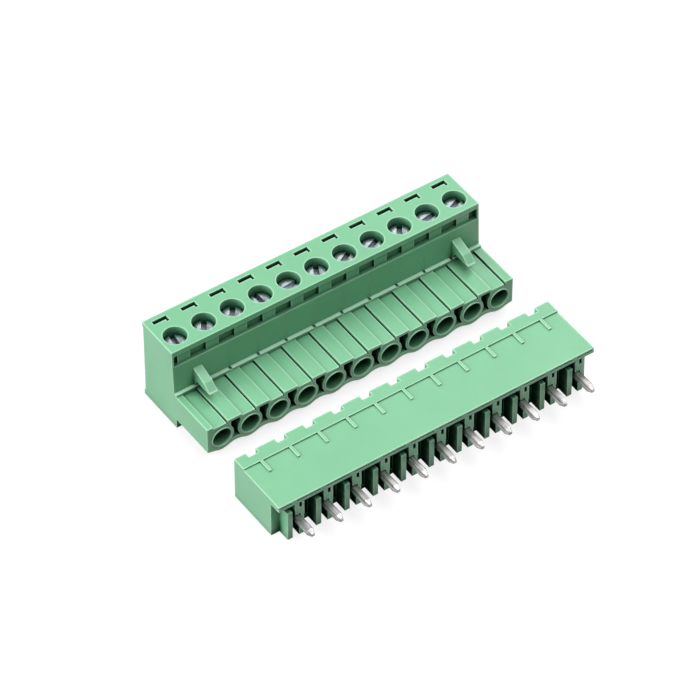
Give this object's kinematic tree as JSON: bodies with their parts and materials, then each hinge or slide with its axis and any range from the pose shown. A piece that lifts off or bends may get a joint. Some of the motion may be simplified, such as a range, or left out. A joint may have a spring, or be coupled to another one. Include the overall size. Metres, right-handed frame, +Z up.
{
  "type": "pluggable terminal block",
  "caption": "Two-part pluggable terminal block: a screw-clamp plug with tube-shaped sockets and latch hooks, and a straight pin header that it slides into.",
  "frame": {"origin": "middle of the footprint of both halves, on the ground", "axes": "+X along the row of poles, -Y the way the plug travels into the header, +Z up"},
  "size_m": [0.0572, 0.0412, 0.0152],
  "materials": {
    "green_housing": "satin moulded polyamide",
    "plated_screw": "zinc plated",
    "plated_cage": "nickel plated",
    "tinned_contact": "tin plated",
    "tinned_pin": "tin plated"
  },
  "bodies": {
    "header": {"header_housing": "green_housing", "header_pin_01": "tinned_pin", "header_pin_02": "tinned_pin", "header_pin_03": "tinned_pin", "header_pin_04": "tinned_pin", "header_pin_05": "tinned_pin", "header_pin_06": "tinned_pin", "header_pin_07": "tinned_pin", "header_pin_08": "tinned_pin", "header_pin_09": "tinned_pin", "header_pin_10": "tinned_pin", "header_pin_11": "tinned_pin"},
    "plug": {"plug_housing": "green_housing", "spring_contact_01": "tinned_contact", "spring_contact_02": "tinned_contact", "spring_contact_03": "tinned_contact", "spring_contact_04": "tinned_contact", "spring_contact_05": "tinned_contact", "spring_contact_06": "tinned_contact", "spring_contact_07": "tinned_contact", "spring_contact_08": "tinned_contact", "spring_contact_09": "tinned_contact", "spring_contact_10": "tinned_contact", "spring_contact_11": "tinned_contact"},
    "screw_01": {"clamp_screw_01": "plated_screw"},
    "cage_01": {"wire_cage_01": "plated_cage"},
    "screw_02": {"clamp_screw_02": "plated_screw"},
    "cage_02": {"wire_cage_02": "plated_cage"},
    "screw_03": {"clamp_screw_03": "plated_screw"},
    "cage_03": {"wire_cage_03": "plated_cage"},
    "screw_04": {"clamp_screw_04": "plated_screw"},
    "cage_04": {"wire_cage_04": "plated_cage"},
    "screw_05": {"clamp_screw_05": "plated_screw"},
    "cage_05": {"wire_cage_05": "plated_cage"},
    "screw_06": {"clamp_screw_06": "plated_screw"},
    "cage_06": {"wire_cage_06": "plated_cage"},
    "screw_07": {"clamp_screw_07": "plated_screw"},
    "cage_07": {"wire_cage_07": "plated_cage"},
    "screw_08": {"clamp_screw_08": "plated_screw"},
    "cage_08": {"wire_cage_08": "plated_cage"},
    "screw_09": {"clamp_screw_09": "plated_screw"},
    "cage_09": {"wire_cage_09": "plated_cage"},
    "screw_10": {"clamp_screw_10": "plated_screw"},
    "cage_10": {"wire_cage_10": "plated_cage"},
    "screw_11": {"clamp_screw_11": "plated_screw"},
    "cage_11": {"wire_cage_11": "plated_cage"}
  },
  "joints": [
    {"name": "plug_slide", "type": "slide", "parent": "header", "child": "plug", "axis": [0, -1, 0], "range_m": [0, 0.01625]},
    {"name": "screw_turn_01", "type": "hinge", "parent": "plug", "child": "screw_01", "pos_m": [-0.0254, 0.01542, 0.01], "axis": [0, 0, -1], "range_deg": [0, 1730]},
    {"name": "cage_lift_01", "type": "slide", "parent": "plug", "child": "cage_01", "axis": [0, 0, 1], "range_m": [0, 0.0024]},
    {"name": "screw_turn_02", "type": "hinge", "parent": "plug", "child": "screw_02", "pos_m": [-0.02032, 0.01542, 0.01], "axis": [0, 0, -1], "range_deg": [0, 1730]},
    {"name": "cage_lift_02", "type": "slide", "parent": "plug", "child": "cage_02", "axis": [0, 0, 1], "range_m": [0, 0.0024]},
    {"name": "screw_turn_03", "type": "hinge", "parent": "plug", "child": "screw_03", "pos_m": [-0.01524, 0.01542, 0.01], "axis": [0, 0, -1], "range_deg": [0, 1730]},
    {"name": "cage_lift_03", "type": "slide", "parent": "plug", "child": "cage_03", "axis": [0, 0, 1], "range_m": [0, 0.0024]},
    {"name": "screw_turn_04", "type": "hinge", "parent": "plug", "child": "screw_04", "pos_m": [-0.01016, 0.01542, 0.01], "axis": [0, 0, -1], "range_deg": [0, 1730]},
    {"name": "cage_lift_04", "type": "slide", "parent": "plug", "child": "cage_04", "axis": [0, 0, 1], "range_m": [0, 0.0024]},
    {"name": "screw_turn_05", "type": "hinge", "parent": "plug", "child": "screw_05", "pos_m": [-0.00508, 0.01542, 0.01], "axis": [0, 0, -1], "range_deg": [0, 1730]},
    {"name": "cage_lift_05", "type": "slide", "parent": "plug", "child": "cage_05", "axis": [0, 0, 1], "range_m": [0, 0.0024]},
    {"name": "screw_turn_06", "type": "hinge", "parent": "plug", "child": "screw_06", "pos_m": [0, 0.01542, 0.01], "axis": [0, 0, -1], "range_deg": [0, 1730]},
    {"name": "cage_lift_06", "type": "slide", "parent": "plug", "child": "cage_06", "axis": [0, 0, 1], "range_m": [0, 0.0024]},
    {"name": "screw_turn_07", "type": "hinge", "parent": "plug", "child": "screw_07", "pos_m": [0.00508, 0.01542, 0.01], "axis": [0, 0, -1], "range_deg": [0, 1730]},
    {"name": "cage_lift_07", "type": "slide", "parent": "plug", "child": "cage_07", "axis": [0, 0, 1], "range_m": [0, 0.0024]},
    {"name": "screw_turn_08", "type": "hinge", "parent": "plug", "child": "screw_08", "pos_m": [0.01016, 0.01542, 0.01], "axis": [0, 0, -1], "range_deg": [0, 1730]},
    {"name": "cage_lift_08", "type": "slide", "parent": "plug", "child": "cage_08", "axis": [0, 0, 1], "range_m": [0, 0.0024]},
    {"name": "screw_turn_09", "type": "hinge", "parent": "plug", "child": "screw_09", "pos_m": [0.01524, 0.01542, 0.01], "axis": [0, 0, -1], "range_deg": [0, 1730]},
    {"name": "cage_lift_09", "type": "slide", "parent": "plug", "child": "cage_09", "axis": [0, 0, 1], "range_m": [0, 0.0024]},
    {"name": "screw_turn_10", "type": "hinge", "parent": "plug", "child": "screw_10", "pos_m": [0.02032, 0.01542, 0.01], "axis": [0, 0, -1], "range_deg": [0, 1730]},
    {"name": "cage_lift_10", "type": "slide", "parent": "plug", "child": "cage_10", "axis": [0, 0, 1], "range_m": [0, 0.0024]},
    {"name": "screw_turn_11", "type": "hinge", "parent": "plug", "child": "screw_11", "pos_m": [0.0254, 0.01542, 0.01], "axis": [0, 0, -1], "range_deg": [0, 1730]},
    {"name": "cage_lift_11", "type": "slide", "parent": "plug", "child": "cage_11", "axis": [0, 0, 1], "range_m": [0, 0.0024]}
  ],
  "couplings": [
    {"joint": "screw_turn_01", "follows": "cage_lift_01", "rad_per_m": 12566},
    {"joint": "screw_turn_02", "follows": "cage_lift_02", "rad_per_m": 12566},
    {"joint": "screw_turn_03", "follows": "cage_lift_03", "rad_per_m": 12566},
    {"joint": "screw_turn_04", "follows": "cage_lift_04", "rad_per_m": 12566},
    {"joint": "screw_turn_05", "follows": "cage_lift_05", "rad_per_m": 12566},
    {"joint": "screw_turn_06", "follows": "cage_lift_06", "rad_per_m": 12566},
    {"joint": "screw_turn_07", "follows": "cage_lift_07", "rad_per_m": 12566},
    {"joint": "screw_turn_08", "follows": "cage_lift_08", "rad_per_m": 12566},
    {"joint": "screw_turn_09", "follows": "cage_lift_09", "rad_per_m": 12566},
    {"joint": "screw_turn_10", "follows": "cage_lift_10", "rad_per_m": 12566},
    {"joint": "screw_turn_11", "follows": "cage_lift_11", "rad_per_m": 12566}
  ]
}
